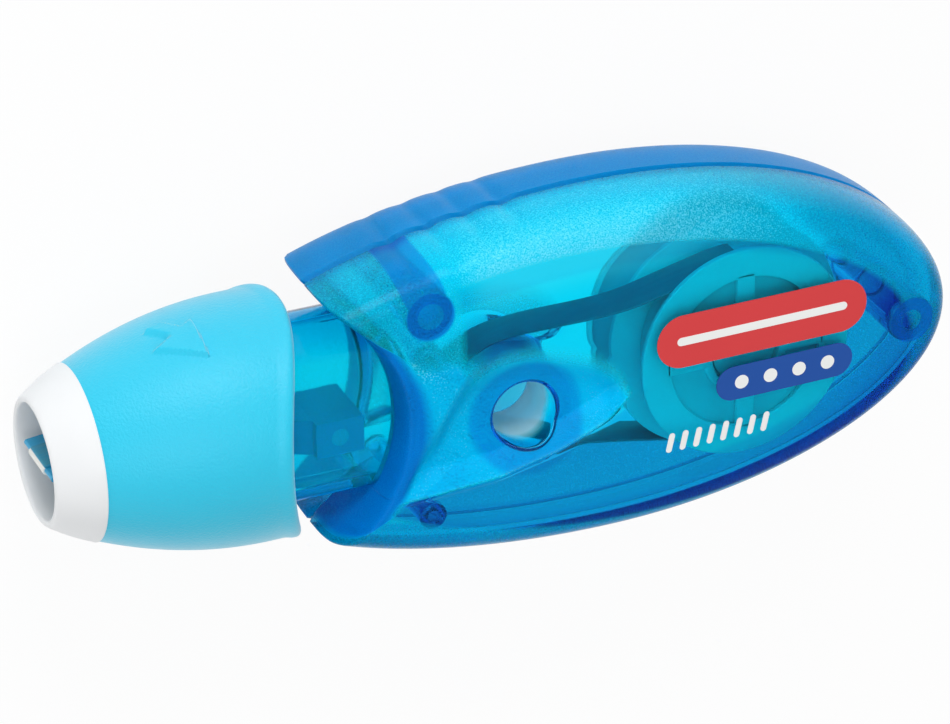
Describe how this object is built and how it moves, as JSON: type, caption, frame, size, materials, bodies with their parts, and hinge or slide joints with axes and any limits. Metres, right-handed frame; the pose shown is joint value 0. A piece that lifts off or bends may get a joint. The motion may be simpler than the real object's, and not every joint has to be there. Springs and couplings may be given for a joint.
{
  "type": "correction tape",
  "caption": "Oval hand-held correction tape with translucent shells, a finger hole, stacked tape reels and a bell-shaped cap that twists to slide the applicator tip out of its nose.",
  "frame": {"origin": "under the middle of the part, on the surface that it lies on", "axes": "+X from the nose to the tail along the cap's axis, +Y to the palm edge, +Z out of the window face"},
  "size_m": [0.0956, 0.0364, 0.0252],
  "materials": {
    "translucent_blue": "translucent blue polystyrene, frosted border and dish, polished windows",
    "white_plastic": "moulded white, satin",
    "grip_plastic": "light blue, satin moulded",
    "tip_plastic": "moulded blue",
    "reel_plastic": "moulded pale, natural",
    "tape_film": "dark release film with white coating",
    "spring_steel": "drawn wire and pressed strip",
    "black_rubber": "matt"
  },
  "bodies": {
    "housing": {"front_shell": "translucent_blue", "back_shell": "translucent_blue", "cap_retaining_ring": "spring_steel", "cap_drag_ring": "black_rubber", "tape_upper_strand": "tape_film", "tape_lower_strand": "tape_film", "clutch_washer": "spring_steel", "clutch_spring": "spring_steel", "axle_cap": "white_plastic"},
    "cap": {"cap_nose": "white_plastic", "cap_grip": "grip_plastic"},
    "tip": {"tip_carriage": "tip_plastic", "follower_peg": "white_plastic", "applicator_tip": "tip_plastic", "cross_pin": "reel_plastic", "tape_tip_loop": "tape_film"},
    "supply": {"supply_reel": "reel_plastic", "supply_roll": "tape_film", "clutch_disc": "black_rubber"},
    "take_up": {"take_up_reel": "reel_plastic", "take_up_roll": "tape_film"}
  },
  "joints": [
    {"name": "cap_twist", "type": "hinge", "parent": "housing", "child": "cap", "pos_m": [-0.0478, 0, 0.0126], "axis": [-1, 0, 0], "range_deg": [0, 180]},
    {"name": "tip_slide", "type": "slide", "parent": "housing", "child": "tip", "axis": [-1, 0, 0], "range_m": [0, 0.007]},
    {"name": "supply_turn", "type": "hinge", "parent": "housing", "child": "supply", "pos_m": [0.0246, -0.0008, 0.0126], "axis": [0, 0, 1], "continuous": true},
    {"name": "take_up_turn", "type": "hinge", "parent": "housing", "child": "take_up", "pos_m": [0.0246, -0.0008, 0.0126], "axis": [0, 0, 1], "continuous": true}
  ],
  "couplings": [
    {"joint": "tip_slide", "follows": "cap_twist", "m_per_rad": 0.0022282},
    {"joint": "take_up_turn", "follows": "supply_turn", "ratio": 0.76423}
  ]
}
